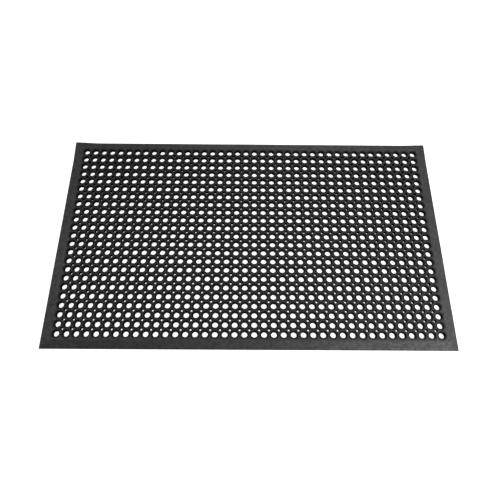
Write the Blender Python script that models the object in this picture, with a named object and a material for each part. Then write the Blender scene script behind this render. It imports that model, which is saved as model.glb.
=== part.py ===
"""Anti-fatigue drainage mat.

A black rubber standing mat that lies on the floor: a perforated tread in panels, edge to edge,
with a bevelled ramp along each side. The ramps meet at mitred corners.

Frame: origin at the centre of the underside, +X along the length, +Y to the rear, +Z up.
Run it with: blender --background --python part.py
"""
import math

import bmesh
import bpy

# Driving dimensions, in metres
PITCH = 0.036                # from one drain hole's centre to the next, both ways
COLUMNS = 40                 # drain holes along X
ROWS = 23                    # drain holes along Y
THICKNESS = 0.0127           # floor to standing surface
HOLE_DIAMETER = 0.0215       # round drain hole, halfway down its wall
HOLE_SIDES = 6               # corners of the polygon that stands for a round hole
SIDE_BORDER = 0.057          # last hole centre to the outer edge, left and right
END_BORDER = 0.054           # last hole centre to the outer edge, front and rear
LAND_SHARE = 0.15            # flat strip beside the tread, as a share of a ramp's width
LIP_HEIGHT = 0.003           # upright outer edge of a ramp
SEAM = 0.0003                # gap between neighbouring pieces

PANEL_NAMES = (
    "tread_left",
    "tread_centre_left",
    "tread_centre",
    "tread_centre_right",
    "tread_right",
)
PANEL_COLUMNS = COLUMNS // len(PANEL_NAMES)
PANEL_LENGTH = PANEL_COLUMNS * PITCH

# The tread ends half a pitch beyond its outermost hole centres
TREAD_HALF_X = COLUMNS * PITCH / 2
TREAD_HALF_Y = ROWS * PITCH / 2
RAMP_WIDTH_X = SIDE_BORDER - PITCH / 2
RAMP_WIDTH_Y = END_BORDER - PITCH / 2

RUBBER_COLOUR = (0.028, 0.028, 0.027, 1.0)
RUBBER_ROUGHNESS = 0.6


def clear_scene():
    """Remove every object that the startup scene holds."""
    for existing in list(bpy.data.objects):
        bpy.data.objects.remove(existing, do_unlink=True)


def rubber():
    """Matt black moulded rubber."""
    material = bpy.data.materials.new("black_rubber")
    material.use_nodes = True
    shader = material.node_tree.nodes["Principled BSDF"]
    shader.inputs["Base Color"].default_value = RUBBER_COLOUR
    shader.inputs["Roughness"].default_value = RUBBER_ROUGHNESS
    shader.inputs["Metallic"].default_value = 0.0
    material.diffuse_color = RUBBER_COLOUR
    return material


def add_loop(curve, corners):
    """Add one closed polygon to a flat curve."""
    spline = curve.splines.new("POLY")
    spline.points.add(len(corners) - 1)
    for point, (x, y) in zip(spline.points, corners):
        point.co = (x, y, 0.0, 1.0)
    spline.use_cyclic_u = True


def hole_corners(centre_x, centre_y):
    """Corners of the polygon that has the same area as the round hole."""
    step = 2 * math.pi / HOLE_SIDES
    circle_radius = HOLE_DIAMETER / 2
    corner_radius = circle_radius * math.sqrt(step / math.sin(step))
    corners = []
    for index in range(HOLE_SIDES):
        angle = step * (index + 0.5)
        x = centre_x + corner_radius * math.cos(angle)
        y = centre_y + corner_radius * math.sin(angle)
        corners.append((x, y))
    return corners


def make_tread_panel(name, left_edge, material, collection):
    """A flat slab with its share of the drain holes, PANEL_COLUMNS wide and ROWS deep."""
    curve = bpy.data.curves.new(name, "CURVE")
    curve.dimensions = "2D"
    curve.fill_mode = "BOTH"
    curve.extrude = THICKNESS / 2
    curve.render_resolution_u = 0

    low_x = SEAM / 2
    high_x = PANEL_LENGTH - SEAM / 2
    add_loop(curve, [
        (low_x, -TREAD_HALF_Y),
        (high_x, -TREAD_HALF_Y),
        (high_x, TREAD_HALF_Y),
        (low_x, TREAD_HALF_Y),
    ])
    for column in range(PANEL_COLUMNS):
        for row in range(ROWS):
            hole_x = (column + 0.5) * PITCH
            hole_y = (row + 0.5) * PITCH - TREAD_HALF_Y
            add_loop(curve, hole_corners(hole_x, hole_y))

    panel = bpy.data.objects.new(name, curve)
    panel.location = (left_edge, 0.0, THICKNESS / 2)
    curve.materials.append(material)
    collection.objects.link(panel)
    return panel


def ramp_section(inner_edge, width):
    """Outline of a ramp's section: distance from the mat's middle, and height."""
    return [
        (inner_edge + SEAM, 0.0),
        (inner_edge + width, 0.0),
        (inner_edge + width, LIP_HEIGHT),
        (inner_edge + LAND_SHARE * width, THICKNESS),
        (inner_edge + SEAM, THICKNESS),
    ]


def make_ramp(name, inner_edge, width, half_length, end_width, turn, material, collection):
    """A bevelled strip along one side of the tread, with mitred ends.

    inner_edge and half_length are the tread's half sizes across and along the strip. end_width is
    the width of the ramps that it meets, so each mitre runs from the tread's corner to the mat's
    corner. turn is the angle about Z that takes the strip from the front to its own side.
    """
    mesh_builder = bmesh.new()
    section_vertices = []
    for outward, height in ramp_section(inner_edge, width):
        half_here = half_length + (outward - inner_edge) * end_width / width - SEAM
        section_vertices.append(mesh_builder.verts.new((-half_here, -outward, height)))
    section = mesh_builder.faces.new(section_vertices)
    swept = bmesh.ops.extrude_face_region(mesh_builder, geom=[section], use_keep_orig=True)
    for element in swept["geom"]:
        if isinstance(element, bmesh.types.BMVert):
            element.co.x = -element.co.x
    bmesh.ops.recalc_face_normals(mesh_builder, faces=mesh_builder.faces[:])

    mesh = bpy.data.meshes.new(name)
    mesh_builder.to_mesh(mesh)
    mesh_builder.free()
    ramp = bpy.data.objects.new(name, mesh)
    ramp.rotation_euler = (0.0, 0.0, turn)
    mesh.materials.append(material)
    collection.objects.link(ramp)
    return ramp


def build_mat():
    """Build every piece of the mat in one collection, under one empty."""
    clear_scene()
    collection = bpy.data.collections.new("anti_fatigue_mat")
    bpy.context.scene.collection.children.link(collection)
    material = rubber()

    pieces = []
    for index, name in enumerate(PANEL_NAMES):
        left_edge = index * PANEL_LENGTH - TREAD_HALF_X
        pieces.append(make_tread_panel(name, left_edge, material, collection))

    along_x = (TREAD_HALF_Y, RAMP_WIDTH_Y, TREAD_HALF_X, RAMP_WIDTH_X)
    along_y = (TREAD_HALF_X, RAMP_WIDTH_X, TREAD_HALF_Y, RAMP_WIDTH_Y)
    pieces.append(make_ramp("ramp_front", *along_x, 0.0, material, collection))
    pieces.append(make_ramp("ramp_right", *along_y, math.pi / 2, material, collection))
    pieces.append(make_ramp("ramp_rear", *along_x, math.pi, material, collection))
    pieces.append(make_ramp("ramp_left", *along_y, -math.pi / 2, material, collection))

    mat = bpy.data.objects.new("mat", None)
    mat.empty_display_size = THICKNESS
    collection.objects.link(mat)
    for piece in pieces:
        piece.parent = mat


build_mat()
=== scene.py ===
"""Looks of the anti-fatigue drainage mat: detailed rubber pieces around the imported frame.

Each tread panel is a grid of cells one pitch square. A cell has a large drain hole in its middle
and a quarter of a small drain hole at each corner that has one. Each ramp is a section swept along
its side of the tread, with mitred ends.
"""
import math

import bmesh
import bpy
import numpy as np
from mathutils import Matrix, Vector


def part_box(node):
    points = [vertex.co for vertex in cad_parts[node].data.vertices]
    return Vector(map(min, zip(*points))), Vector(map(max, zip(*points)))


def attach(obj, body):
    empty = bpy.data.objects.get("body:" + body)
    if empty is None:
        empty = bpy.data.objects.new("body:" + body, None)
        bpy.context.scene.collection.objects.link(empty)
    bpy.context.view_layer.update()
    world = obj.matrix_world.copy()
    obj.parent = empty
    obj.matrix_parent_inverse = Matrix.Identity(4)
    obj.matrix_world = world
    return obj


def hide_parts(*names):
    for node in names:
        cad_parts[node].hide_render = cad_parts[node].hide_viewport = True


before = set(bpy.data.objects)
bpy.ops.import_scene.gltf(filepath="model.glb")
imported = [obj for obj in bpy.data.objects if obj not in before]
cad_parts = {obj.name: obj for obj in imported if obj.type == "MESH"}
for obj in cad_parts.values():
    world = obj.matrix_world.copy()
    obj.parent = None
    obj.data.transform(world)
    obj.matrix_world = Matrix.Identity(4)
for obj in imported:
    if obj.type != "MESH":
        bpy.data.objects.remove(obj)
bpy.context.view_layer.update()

# ---------------------------------------------------------------- sizes, in metres
COLUMNS = 40
ROWS = 23
PANELS = (
    "tread_left",
    "tread_centre_left",
    "tread_centre",
    "tread_centre_right",
    "tread_right",
)
PANEL_COLUMNS = COLUMNS // len(PANELS)

middle_low, middle_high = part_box("tread_centre")
PITCH = (middle_high.y - middle_low.y) / ROWS
THICKNESS = middle_high.z - middle_low.z
TREAD_HALF_X = COLUMNS * PITCH / 2
TREAD_HALF_Y = ROWS * PITCH / 2
OUTER_HALF_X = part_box("ramp_right")[1].x
OUTER_HALF_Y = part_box("ramp_rear")[1].y
HALF_CELL = PITCH / 2

WEB_HEIGHT = 0.002           # the web's underside stands this far above the floor

# Large drain hole: a wide dished rim at the top, a wall with some draft, and a ring foot under it
WALL_LOW_RADIUS = 0.0105
WALL_HIGH_RADIUS = 0.0110
RIM_WIDTH = 0.0051
RIM_DEPTH = 0.0018
RIM_POWER = 1.43             # 1 makes the rim a round, and 2 a plain chamfer
RIM_STEPS = 4
RIM_WALL_STEP = 2            # from this step down, the rim takes the wall's rubber, coloured with painted shade
FOOT_DRAFT = 0.0004
FOOT_RING_RADIUS = 0.0140

# Small drain hole, turned profile from the top face to the web's underside: a funnel that is
# narrowest at the floor, in a short stud foot
SMALL_OUTER_RADIUS = 0.0064
SMALL_RIM_POINTS = 3         # how many of the points below belong to the rounded rim
SMALL_PROFILE = (
    (SMALL_OUTER_RADIUS, THICKNESS),
    (0.0061, THICKNESS - 0.0003),
    (0.0058, THICKNESS - 0.0012),
    (0.0034, 0.0015),
    (0.0036, 0.0),
    (0.0058, 0.0),
    (SMALL_OUTER_RADIUS, WEB_HEIGHT),
)

# Segments of a cell's outline in each quarter
EDGE_STEPS = 4               # from the middle of a side to the small hole
CORNER_STEPS = 4             # round the small hole's quarter
QUARTER_STEPS = 2 * EDGE_STEPS + CORNER_STEPS

# Ramp section, in shares of the ramp's width from the tread's edge outward
LAND_SHARE = 0.15            # flat strip
NOSE_SHARE = 0.10            # rounded outer edge
LIP_HEIGHT = 0.003           # where the straight slope would meet the outer edge
NOSE_STEPS = 5
NOSE_START = math.radians(29)    # slope of the surface where the nose begins
CREASE_EASE = 0.00012        # how far the crease between land and slope is rounded down
CREASE_REACH = 0.05          # and over what share of the width, to either side
UNDERCUT = 0.0006            # height of the nose's lowest point above the floor
LAND_SHARES = (0.0, 0.08)    # where the section has points on the flat strip
CREASE_SHARE = 0.12          # where it begins to round down
SLOPE_SHARES = (0.16, 0.20, 0.26, 0.4, 0.6, 0.8)
HEEL_SHARE = 0.993           # where the nose has turned under and nearly meets the sole
SOLE_SHARES = (0.98, 0.5, 0.0)
RAMP_SPACING = 0.018         # between sections along a ramp

# Lie of the sheet on the floor
LEFT_CURL_HEIGHT = 0.0065    # the rear left corner lifts this much
RIGHT_CURL_HEIGHT = 0.004    # and the rear right one this much
CURL_REACH = 0.12
CURL_POWER = 1.5             # above 1 keeps the curl close to the corner
SWELL_HEIGHT = 0.0003        # slow waves in the sheet, crest to mean
SWELL_LENGTH = 0.42
SWELL_SLANT = (0.3, -0.2)    # how far the two sets of waves run askew of the mat's sides

WELD_DISTANCE = 0.00001
SHARP_ANGLE = math.radians(40)    # edges that turn more than this are shaded sharp

# Material slots of a piece: the faces' rubber, and the hole walls' rubber, whose colour is painted
# shade
FACE = 0
WALL = 1


# ---------------------------------------------------------------- mesh building
class Builder:
    """Vertices, faces and each face's material slot of a piece while it is made."""

    def __init__(self):
        self.vertices = []
        self.faces = []
        self.slots = []

    def ring(self, points, height):
        """Add flat points at one height, and give their indices."""
        first = len(self.vertices)
        self.vertices += [(x, y, height) for x, y in points]
        return list(range(first, first + len(points)))

    def face(self, corners, slot=FACE):
        """Add one face."""
        self.faces.append(tuple(corners))
        self.slots.append(slot)

    def band(self, upper, lower, closed, slot=FACE):
        """Quads between two rows of the same number of vertices."""
        count = len(upper)
        for index in range(count if closed else count - 1):
            after = (index + 1) % count
            self.face((upper[index], lower[index], lower[after], upper[after]), slot)

    def add_copy(self, other, centre):
        """Add another builder's shape, moved to a centre."""
        first = len(self.vertices)
        self.vertices += [
            (x + centre[0], y + centre[1], height) for x, y, height in other.vertices
        ]
        self.faces += [tuple(first + corner for corner in face) for face in other.faces]
        self.slots += other.slots


def turned(point, quarter):
    """A flat point turned by a number of quarter turns."""
    x, y = point
    for _ in range(quarter):
        x, y = -y, x
    return x, y


# ---------------------------------------------------------------- tread cells
def large_hole_profile():
    """(radius, height, slot of the band above it) down the large hole to its ring foot."""
    profile = []
    for step in range(RIM_STEPS + 1):
        angle = math.pi / 2 * step / RIM_STEPS
        radius = WALL_HIGH_RADIUS + RIM_WIDTH * (1 - math.sin(angle) ** RIM_POWER)
        height = THICKNESS - RIM_DEPTH * (1 - math.cos(angle) ** RIM_POWER)
        profile.append((radius, height, WALL if step >= RIM_WALL_STEP else FACE))
    profile.append((WALL_LOW_RADIUS, 0.0, WALL))
    profile.append((FOOT_RING_RADIUS, 0.0, FACE))
    profile.append((FOOT_RING_RADIUS + FOOT_DRAFT, WEB_HEIGHT, FACE))
    return profile


def corner_arc(radius):
    """A quarter circle round the first quarter's corner, from its right side to its top."""
    points = []
    for step in range(CORNER_STEPS + 1):
        angle = -math.pi / 2 * (1 + step / CORNER_STEPS)
        x = HALF_CELL + radius * math.cos(angle)
        y = HALF_CELL + radius * math.sin(angle)
        points.append((x, y))
    return points


def quarter_outline():
    """Outline of a cell's first quarter, from the middle of its right side to that of its top."""
    edge_end = HALF_CELL - SMALL_OUTER_RADIUS
    points = [(HALF_CELL, edge_end * step / EDGE_STEPS) for step in range(EDGE_STEPS)]
    points += corner_arc(SMALL_OUTER_RADIUS)
    points += [(edge_end * (1 - step / EDGE_STEPS), HALF_CELL) for step in range(1, EDGE_STEPS)]
    return points


def add_large_hole(builder, outline):
    """The large hole with the flat land between it and the cell's outline, above and below."""
    count = 4 * QUARTER_STEPS
    above = builder.ring(outline, THICKNESS)
    for radius, height, slot in large_hole_profile():
        circle = []
        for step in range(count):
            angle = 2 * math.pi * step / count
            circle.append((radius * math.cos(angle), radius * math.sin(angle)))
        below = builder.ring(circle, height)
        builder.band(above, below, True, slot)
        above = below
    builder.band(above, builder.ring(outline, WEB_HEIGHT), True)


def add_corner(builder, quarter, has_hole):
    """A corner of a cell: a quarter of the small hole and its foot, or else solid rubber."""
    def arc(radius, height):
        return builder.ring([turned(point, quarter) for point in corner_arc(radius)], height)

    if has_hole:
        rows = [arc(radius, height) for radius, height in SMALL_PROFILE]
        for index in range(1, len(rows)):
            # Below the rounded rim, the funnel takes the wall's rubber and its painted shade
            slot = FACE if index < SMALL_RIM_POINTS else WALL
            builder.band(rows[index - 1], rows[index], False, slot)
        return
    for height in (THICKNESS, WEB_HEIGHT):
        edge = arc(SMALL_OUTER_RADIUS, height)
        tip = builder.ring([turned((HALF_CELL, HALF_CELL), quarter)], height)[0]
        for before, after in zip(edge, edge[1:]):
            builder.face((before, after, tip))


def add_wall(builder, side, hole_before, hole_after):
    """The cut face along one side of a cell, where a panel ends."""
    edge_end = HALF_CELL - SMALL_OUTER_RADIUS
    places = [edge_end * step / EDGE_STEPS for step in range(-EDGE_STEPS, EDGE_STEPS + 1)]
    if not hole_before:
        places.insert(0, -HALF_CELL)
    if not hole_after:
        places.append(HALF_CELL)
    points = [turned((HALF_CELL, place), side) for place in places]
    builder.band(builder.ring(points, THICKNESS), builder.ring(points, WEB_HEIGHT), False)
    for sign, has_hole in ((-1, hole_before), (1, hole_after)):
        if not has_hole:
            continue
        section = []
        for radius, height in SMALL_PROFILE:
            point = turned((HALF_CELL, sign * (HALF_CELL - radius)), side)
            section += builder.ring([point], height)
        builder.face(section)


def cell(holes, walls):
    """One cell about its own middle. holes and walls say which corners and sides have one."""
    builder = Builder()
    outline = []
    for quarter in range(4):
        outline += [turned(point, quarter) for point in quarter_outline()]
    add_large_hole(builder, outline)
    for quarter in range(4):
        add_corner(builder, quarter, holes[quarter])
    for side in range(4):
        if walls[side]:
            add_wall(builder, side, holes[side - 1], holes[side])
    return builder


def tread_panel(first_column):
    """The panel that starts at a column of the tread."""
    last_column = first_column + PANEL_COLUMNS - 1
    cells = {}
    panel = Builder()
    for column in range(first_column, last_column + 1):
        for row in range(ROWS):
            right = column < COLUMNS - 1
            left = column > 0
            rear = row < ROWS - 1
            front = row > 0
            holes = (right and rear, left and rear, left and front, right and front)
            walls = (column == last_column, not rear, column == first_column, not front)
            if (holes, walls) not in cells:
                cells[holes, walls] = cell(holes, walls)
            centre_x = (column + 0.5) * PITCH - TREAD_HALF_X
            centre_y = (row + 0.5) * PITCH - TREAD_HALF_Y
            panel.add_copy(cells[holes, walls], (centre_x, centre_y))
    return panel


# ---------------------------------------------------------------- ramps
def slope_height(share):
    """Height of the straight slope, with its crease beside the land rounded."""
    drop = (THICKNESS - LIP_HEIGHT) * (share - LAND_SHARE) / (1 - LAND_SHARE)
    ease = CREASE_EASE * math.exp(-((share - LAND_SHARE) / CREASE_REACH) ** 2)
    return THICKNESS - drop - ease


def ramp_section():
    """(share of the ramp's width, height) round the section, from the tread's edge outward."""
    section = [(share, THICKNESS) for share in LAND_SHARES]
    section.append((CREASE_SHARE, THICKNESS - CREASE_EASE / 3))
    section += [(share, slope_height(share)) for share in SLOPE_SHARES]
    nose_top = slope_height(1 - NOSE_SHARE)
    start_sine = math.sin(NOSE_START)
    for step in range(NOSE_STEPS + 1):
        angle = NOSE_START + (math.pi / 2 - NOSE_START) * step / NOSE_STEPS
        across = (math.sin(angle) - start_sine) / (1 - start_sine)
        down = 1 - math.cos(angle) / math.cos(NOSE_START)
        share = 1 - NOSE_SHARE * (1 - across)
        section.append((share, nose_top - (nose_top - UNDERCUT) * down))
    section.append((HEEL_SHARE, UNDERCUT / 4))
    section += [(share, 0.0) for share in SOLE_SHARES]
    return section


def ramp(inner, width, half_length, end_width, quarter):
    """The ramp along one side of the tread, turned by a number of quarter turns."""
    builder = Builder()
    sections = 2 * round(half_length / RAMP_SPACING)
    rows = []
    for number in range(sections + 1):
        along = 2 * number / sections - 1
        row = []
        for share, height in ramp_section():
            x = along * (half_length + share * end_width)
            row += builder.ring([turned((x, -inner - share * width), quarter)], height)
        rows.append(row)
    for before, after in zip(rows, rows[1:]):
        builder.band(before, after, True)
    builder.face(rows[0])
    builder.face(rows[-1])
    return builder


# ---------------------------------------------------------------- lie of the sheet
def lift(x, y):
    """How far the sheet rises off the floor: slow swells, and two far corners that curl up."""
    swell = np.sin(2 * math.pi * (x + SWELL_SLANT[0] * y) / SWELL_LENGTH)
    swell = swell * np.cos(2 * math.pi * (y + SWELL_SLANT[1] * x) / SWELL_LENGTH)
    rise = SWELL_HEIGHT * (1 + swell)
    for corner_x, height in (
        (-OUTER_HALF_X, LEFT_CURL_HEIGHT),
        (OUTER_HALF_X, RIGHT_CURL_HEIGHT),
    ):
        away = np.hypot(x - corner_x, y - OUTER_HALF_Y)
        near = np.clip(1 - away / CURL_REACH, 0.0, 1.0)
        rise += height * (near * near * (3 - 2 * near)) ** CURL_POWER
    return rise


def make_piece(name, builder, materials, node):
    """A closed, smooth-shaded mesh that rides on the mat's only body."""
    placed = np.array(builder.vertices)
    placed[:, 2] += lift(placed[:, 0], placed[:, 1])
    mesh = bpy.data.meshes.new(name)
    mesh.from_pydata(placed.tolist(), [], builder.faces)
    for material in materials:
        mesh.materials.append(material)
    mesh.polygons.foreach_set("material_index", builder.slots)
    welder = bmesh.new()
    welder.from_mesh(mesh)
    bmesh.ops.remove_doubles(welder, verts=welder.verts[:], dist=WELD_DISTANCE)
    bmesh.ops.recalc_face_normals(welder, faces=welder.faces[:])
    welder.to_mesh(mesh)
    welder.free()
    mesh.shade_smooth()
    mesh.set_sharp_from_angle(angle=SHARP_ANGLE)
    piece = bpy.data.objects.new(name, mesh)
    bpy.context.scene.collection.objects.link(piece)
    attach(piece, "root")
    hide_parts(node)
    return piece


# ---------------------------------------------------------------- shader nodes
def put(tree, socket, value):
    """Link a socket to an output, or give it a plain value."""
    if isinstance(value, bpy.types.NodeSocket):
        tree.links.new(value, socket)
    else:
        socket.default_value = value


def calculate(tree, operation, *values):
    """A sum, product or other operation on numbers."""
    node = tree.nodes.new("ShaderNodeMath")
    node.operation = operation
    for socket, value in zip(node.inputs, values):
        put(tree, socket, value)
    return node.outputs["Value"]


def calculate_vector(tree, operation, *values):
    """The same on vectors."""
    node = tree.nodes.new("ShaderNodeVectorMath")
    node.operation = operation
    for socket, value in zip(node.inputs, values):
        put(tree, socket, value)
    return node.outputs["Value" if operation == "LENGTH" else "Vector"]


def noise(tree, place, scale, detail):
    """Even cloudy noise about 0.5. scale is the number of its features to a metre."""
    node = tree.nodes.new("ShaderNodeTexNoise")
    put(tree, node.inputs["Vector"], place)
    node.inputs["Scale"].default_value = scale
    node.inputs["Detail"].default_value = detail
    return node.outputs["Fac"]


def rescale(tree, value, before, after, smooth=False):
    """A number moved from one range to another, and held inside it."""
    node = tree.nodes.new("ShaderNodeMapRange")
    node.interpolation_type = "SMOOTHSTEP" if smooth else "LINEAR"
    put(tree, node.inputs["Value"], value)
    node.inputs["From Min"].default_value = before[0]
    node.inputs["From Max"].default_value = before[1]
    node.inputs["To Min"].default_value = after[0]
    node.inputs["To Max"].default_value = after[1]
    return node.outputs["Result"]


def new_material(name, roughness, specular):
    """A material with its node tree, shader and place in the mat's own frame."""
    material = bpy.data.materials.new(name)
    material.use_nodes = True
    tree = material.node_tree
    shader = tree.nodes["Principled BSDF"]
    shader.inputs["Roughness"].default_value = roughness
    shader.inputs["Specular IOR Level"].default_value = specular
    place = tree.nodes.new("ShaderNodeTexCoord")
    return material, tree, shader, place


# ---------------------------------------------------------------- materials
RUBBER_TONE = 0.022          # how much light the flat faces give back
# Tones of the hole walls' rubber, which are painted shade
RIM_PAINTED_SHADE_TONE = 0.007             # of a dished rim where it becomes the wall's rubber
WALL_PAINTED_SHADE_TONE = 0.002
WEAR_AND_HIGHLIGHT_TONE = 0.009            # added where the rubber is rubbed, and as a painted highlight along a ramp's outer edge
DUST_TONE = 0.02             # added in a fleck of dust
RUBBER_TINT = (1.0, 1.0, 0.975)

# Noise patterns: features to a metre, and levels of finer detail in them
BLOOM = (12.0, 3.0)
MOTTLE = (75.0, 4.0)
WALL_GRAIN = (700.0, 3.0)
FLECKS = (900.0, 1.0)
GRAIN = (1500.0, 2.0)

NOISE_RANGE = (0.3, 0.7)     # noise seldom leaves this range
BLOOM_SWING = 0.16           # how far the noise sways the tone, as a share of it
MOTTLE_SWING = 0.5
GRAIN_SWING = 0.18
PATCH_RANGE = (0.4, 0.62)    # of the mottle, over which rubbed patches come up
FLECK_RANGE = (0.66, 0.74)

GRAIN_DEPTH = 0.0003         # of the moulded grain, in metres
MOTTLE_DEPTH_SHARE = 3.0     # depth of the mottle, as a share of the grain's
WALL_GRAIN_DEPTH = 0.0001
ROUGHNESS_RANGE = (0.68, 0.54)
RUBBED_GLOSS = 0.1           # roughness lost where the rubber is rubbed
WALL_ROUGHNESS = 0.9
FLOOR_ROUGHNESS = 0.9
TREAD_SHEEN = 0.34           # specular levels: the border is the glossier
RAMP_SHEEN = 0.5
DULL_SHEEN = 0.1             # of the hole walls and the floor

RIM_PAINTED_SHADE = 0.12             # share of the tone left by painted shade in a dished rim
NOSE_PAINTED_SHADE = 0.3             # and by painted shade where a ramp's outer edge turns under
WALL_GRAIN_RANGE = (0.8, 1.2)    # how far the grain sways the walls' tone, as a share of it

# How much a surface faces up, over which painted shade takes its tone from one to the other: 1 is
# level
TREAD_TURN = (0.5, 0.95)
WALL_TURN = (0.5, 0.9)
RAMP_TURN = (0.1, 0.6)

# Distances over which a look comes up or fades, in metres: the first two from a hole's axis, and
# the last from the mat's outer edge
# Painted shade of the dished rims: full at the first distance from a hole's axis, gone at the
# second
DISH_PAINTED_SHADE = (WALL_HIGH_RADIUS + 0.5 * RIM_WIDTH, WALL_HIGH_RADIUS + 2.3 * RIM_WIDTH)
TREAD_WEAR = (0.018, 0.0225)
# Along a ramp's outer edge: wear, and a painted highlight
EDGE_WEAR_AND_HIGHLIGHT = (0.001, 0.009)

FLOOR_TONE = 0.5
STUDIO_WHITE = 0.93          # light of their own that the camera sees in the floor and studio


def set_colour(tree, shader, tone):
    """Give the shader the rubber's tint at a tone."""
    tint = tree.nodes.new("ShaderNodeVectorMath")
    tint.operation = "SCALE"
    tint.inputs[0].default_value = RUBBER_TINT
    put(tree, tint.inputs["Scale"], tone)
    tree.links.new(tint.outputs["Vector"], shader.inputs["Base Color"])


def set_bump(tree, shader, height, depth):
    """Raise the surface by a height from 0 to 1 times a depth in metres."""
    bump = tree.nodes.new("ShaderNodeBump")
    bump.inputs["Strength"].default_value = 1.0
    bump.inputs["Distance"].default_value = depth
    put(tree, bump.inputs["Height"], height)
    tree.links.new(bump.outputs["Normal"], shader.inputs["Normal"])


def upward(tree, place):
    """How much the surface faces up: 1 where it is level and 0 where it is upright."""
    direction = tree.nodes.new("ShaderNodeSeparateXYZ")
    tree.links.new(place.outputs["Normal"], direction.inputs["Vector"])
    return direction.outputs["Z"]


def hole_distance(tree, where):
    """Distance to the axis of the nearest large hole."""
    across = calculate_vector(tree, "MULTIPLY", where, (1 / PITCH, 1 / PITCH, 0.0))
    across = calculate_vector(tree, "ADD", across, (COLUMNS / 2, ROWS / 2, 0.0))
    across = calculate_vector(tree, "FRACTION", across)
    across = calculate_vector(tree, "SUBTRACT", across, (0.5, 0.5, 0.0))
    distance = calculate_vector(tree, "LENGTH", across)
    return calculate(tree, "MULTIPLY", distance, PITCH)


def edge_distance(tree, where):
    """Distance in from the mat's outer edge."""
    parts = tree.nodes.new("ShaderNodeSeparateXYZ")
    tree.links.new(where, parts.inputs["Vector"])
    across = calculate(tree, "ABSOLUTE", parts.outputs["X"])
    along = calculate(tree, "ABSOLUTE", parts.outputs["Y"])
    inside_x = calculate(tree, "SUBTRACT", OUTER_HALF_X, across)
    inside_y = calculate(tree, "SUBTRACT", OUTER_HALF_Y, along)
    return calculate(tree, "MINIMUM", inside_x, inside_y)


def face_rubber(name, sheen, painted_shade, wear_and_highlight):
    """Matt moulded rubber: fine grain, cloudy bloom, pale dust, greyer where it is rubbed, and
    painted shade and highlight.

    The first function given tells the share of the full tone that painted shade leaves at a place,
    and the second how far wear, and on a ramp's edge also a painted highlight, lightens it, from 0
    to 1.
    """
    material, tree, shader, place = new_material(name, ROUGHNESS_RANGE[0], sheen)
    where = place.outputs["Object"]
    bloom = noise(tree, where, *BLOOM)
    mottle = noise(tree, where, *MOTTLE)
    grain = noise(tree, where, *GRAIN)
    flecks = noise(tree, where, *FLECKS)

    tone = RUBBER_TONE
    for pattern, swing in (
        (bloom, BLOOM_SWING),
        (mottle, MOTTLE_SWING),
        (grain, GRAIN_SWING),
    ):
        share = rescale(tree, pattern, NOISE_RANGE, (1 - swing, 1 + swing))
        tone = calculate(tree, "MULTIPLY", tone, share)
    # Painted shade darkens the tone here
    tone = calculate(tree, "MULTIPLY", tone, painted_shade(tree, place))

    patches = rescale(tree, mottle, PATCH_RANGE, (0.0, 1.0))
    # Wear, and on a ramp's edge also a painted highlight, lighten the tone here
    rubbed_and_highlit = calculate(tree, "MULTIPLY", wear_and_highlight(tree, where), patches)
    tone = calculate(tree, "ADD", tone, calculate(tree, "MULTIPLY", rubbed_and_highlit, WEAR_AND_HIGHLIGHT_TONE))
    dust = rescale(tree, flecks, FLECK_RANGE, (0.0, 1.0))
    dust = calculate(tree, "MULTIPLY", dust, upward(tree, place))
    tone = calculate(tree, "ADD", tone, calculate(tree, "MULTIPLY", dust, DUST_TONE))
    set_colour(tree, shader, tone)

    roughness = rescale(tree, mottle, NOISE_RANGE, ROUGHNESS_RANGE)
    gloss = calculate(tree, "MULTIPLY", rubbed_and_highlit, RUBBED_GLOSS)
    tree.links.new(calculate(tree, "SUBTRACT", roughness, gloss), shader.inputs["Roughness"])
    waves = calculate(tree, "MULTIPLY", mottle, MOTTLE_DEPTH_SHARE)
    set_bump(tree, shader, calculate(tree, "ADD", grain, waves), GRAIN_DEPTH)
    return material


def tread_painted_shade(tree, place):
    """Painted shade: the tread's colour is darker in the dished rims and where it turns down into a
    hole.
    """
    shades = (RIM_PAINTED_SHADE, 1.0)
    dished = rescale(tree, hole_distance(tree, place.outputs["Object"]), DISH_PAINTED_SHADE, shades, True)
    level = rescale(tree, upward(tree, place), TREAD_TURN, shades, True)
    return calculate(tree, "MINIMUM", dished, level)


def tread_wear(tree, where):
    """The tread is worn where it stands between the rims, round the small holes."""
    return rescale(tree, hole_distance(tree, where), TREAD_WEAR, (0.0, 1.0), True)


def ramp_painted_shade(tree, place):
    """Painted shade: a ramp's colour is darker where its outer edge turns under."""
    return rescale(tree, upward(tree, place), RAMP_TURN, (NOSE_PAINTED_SHADE, 1.0), True)


def ramp_wear_and_highlight(tree, where):
    """A ramp is lighter along its outer edge: partly rubbed wear, partly a painted highlight where
    the rounded edge catches the light.
    """
    return rescale(tree, edge_distance(tree, where), EDGE_WEAR_AND_HIGHLIGHT, (1.0, 0.0), True)


def wall_painted_shade():
    """Rubber of the hole walls, coloured with painted shade: far darker than the faces, darkest
    where upright, and dull.
    """
    material, tree, shader, place = new_material("hole_wall_rubber", WALL_ROUGHNESS, DULL_SHEEN)
    grain = noise(tree, place.outputs["Object"], *WALL_GRAIN)
    tone = rescale(tree, upward(tree, place), WALL_TURN, (WALL_PAINTED_SHADE_TONE, RIM_PAINTED_SHADE_TONE), True)
    share = rescale(tree, grain, NOISE_RANGE, WALL_GRAIN_RANGE)
    tone = calculate(tree, "MULTIPLY", tone, share)
    set_colour(tree, shader, tone)
    set_bump(tree, shader, grain, WALL_GRAIN_DEPTH)
    return material


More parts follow.
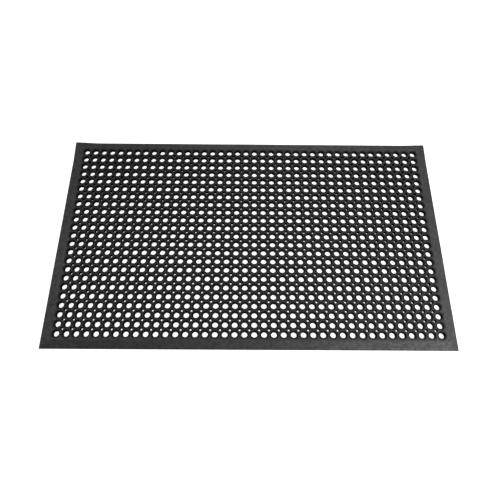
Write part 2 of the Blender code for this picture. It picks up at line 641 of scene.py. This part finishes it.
def floor_material():
    """White paper, which looks brighter to the camera than the light that it throws back."""
    material, tree, shader, _ = new_material("pale_floor", FLOOR_ROUGHNESS, DULL_SHEEN)
    shader.inputs["Base Color"].default_value = (FLOOR_TONE, FLOOR_TONE, FLOOR_TONE, 1.0)
    glow = tree.nodes.new("ShaderNodeEmission")
    path = tree.nodes.new("ShaderNodeLightPath")
    seen = calculate(tree, "MULTIPLY", path.outputs["Is Camera Ray"], STUDIO_WHITE)
    tree.links.new(seen, glow.inputs["Strength"])
    both = tree.nodes.new("ShaderNodeAddShader")
    tree.links.new(shader.outputs["BSDF"], both.inputs[0])
    tree.links.new(glow.outputs["Emission"], both.inputs[1])
    tree.links.new(both.outputs["Shader"], tree.nodes["Material Output"].inputs["Surface"])
    return material


# ---------------------------------------------------------------- the mat
hole_walls = wall_painted_shade()
tread_rubber = face_rubber("tread_rubber", TREAD_SHEEN, tread_painted_shade, tread_wear)
tread_materials = [tread_rubber, hole_walls]
ramp_materials = [face_rubber("ramp_rubber", RAMP_SHEEN, ramp_painted_shade, ramp_wear_and_highlight)]
for index, name in enumerate(PANELS):
    make_piece(name + "_rubber", tread_panel(index * PANEL_COLUMNS), tread_materials, name)

ramp_width_x = OUTER_HALF_X - TREAD_HALF_X
ramp_width_y = OUTER_HALF_Y - TREAD_HALF_Y
along_x = (TREAD_HALF_Y, ramp_width_y, TREAD_HALF_X, ramp_width_x)
along_y = (TREAD_HALF_X, ramp_width_x, TREAD_HALF_Y, ramp_width_y)
for quarter, (name, sizes) in enumerate((
    ("ramp_front", along_x),
    ("ramp_right", along_y),
    ("ramp_rear", along_x),
    ("ramp_left", along_y),
)):
    make_piece(name + "_rubber", ramp(*sizes, quarter), ramp_materials, name)


# ---------------------------------------------------------------- studio
# Name, place in metres, side in metres and power in watts
SOFTBOXES = (
    ("front_right_softbox", (1.4, -1.1, 1.4), 1.0, 37.0),
    ("right_softbox", (1.8, -0.3, 1.4), 1.0, 17.5),
    ("left_softbox", (-1.7, 0.2, 1.4), 1.0, 13.5),
    ("rear_softbox", (0.5, 1.9, 1.4), 1.0, 11.0),
    ("rear_right_softbox", (1.6, 1.5, 1.4), 0.8, 5.0),
    ("low_rear_softbox", (0.0, 3.0, 1.2), 1.6, 6.0),
)
WORLD_LIGHT = 0.08           # strength of the even light from all round
FLOOR_SIZE = 60.0            # metres
FLOOR_DROP = 0.0002          # the floor lies this far under the mat
CAMERA_PLACE = (-0.0087, -0.8035, 1.6968)
CAMERA_TURN = (23.806, -0.428, 0.220)    # degrees about X, Y and Z
LENS = 33.78                 # focal length in millimetres
SENSOR = 36.0                # width in millimetres


def add_floor():
    """A wide pale floor just under the mat."""
    bpy.ops.mesh.primitive_plane_add(size=FLOOR_SIZE, location=(0.0, 0.0, -FLOOR_DROP))
    floor = bpy.context.object
    floor.name = "studio_floor"
    floor.data.materials.append(floor_material())


def add_softbox(name, place, size, power):
    """A square soft light aimed at the middle of the mat."""
    light = bpy.data.lights.new(name, "AREA")
    light.shape = "SQUARE"
    light.size = size
    light.energy = power
    lamp = bpy.data.objects.new(name, light)
    lamp.location = place
    lamp.rotation_euler = Vector(place).to_track_quat("Z", "Y").to_euler()
    lamp.visible_camera = False
    bpy.context.scene.collection.objects.link(lamp)


def add_world(strength, seen):
    """Even white light from all round, and a white studio behind the floor's far edge."""
    world = bpy.data.worlds.new("white_studio")
    bpy.context.scene.world = world
    world.use_nodes = True
    tree = world.node_tree
    background = tree.nodes["Background"]
    background.inputs["Color"].default_value = (1.0, 1.0, 1.0, 1.0)
    path = tree.nodes.new("ShaderNodeLightPath")
    extra = calculate(tree, "MULTIPLY", path.outputs["Is Camera Ray"], seen - strength)
    tree.links.new(calculate(tree, "ADD", extra, strength), background.inputs["Strength"])


def add_camera():
    """Camera held in front of the mat, at about a standing person's eye level."""
    lens = bpy.data.cameras.new("camera")
    lens.sensor_width = SENSOR
    lens.lens = LENS
    camera = bpy.data.objects.new("camera", lens)
    camera.location = CAMERA_PLACE
    camera.rotation_euler = [math.radians(angle) for angle in CAMERA_TURN]
    bpy.context.scene.collection.objects.link(camera)
    bpy.context.scene.camera = camera


add_floor()
for softbox in SOFTBOXES:
    add_softbox(*softbox)
add_world(WORLD_LIGHT, STUDIO_WHITE)
add_camera()
bpy.context.scene.view_settings.view_transform = "Standard"
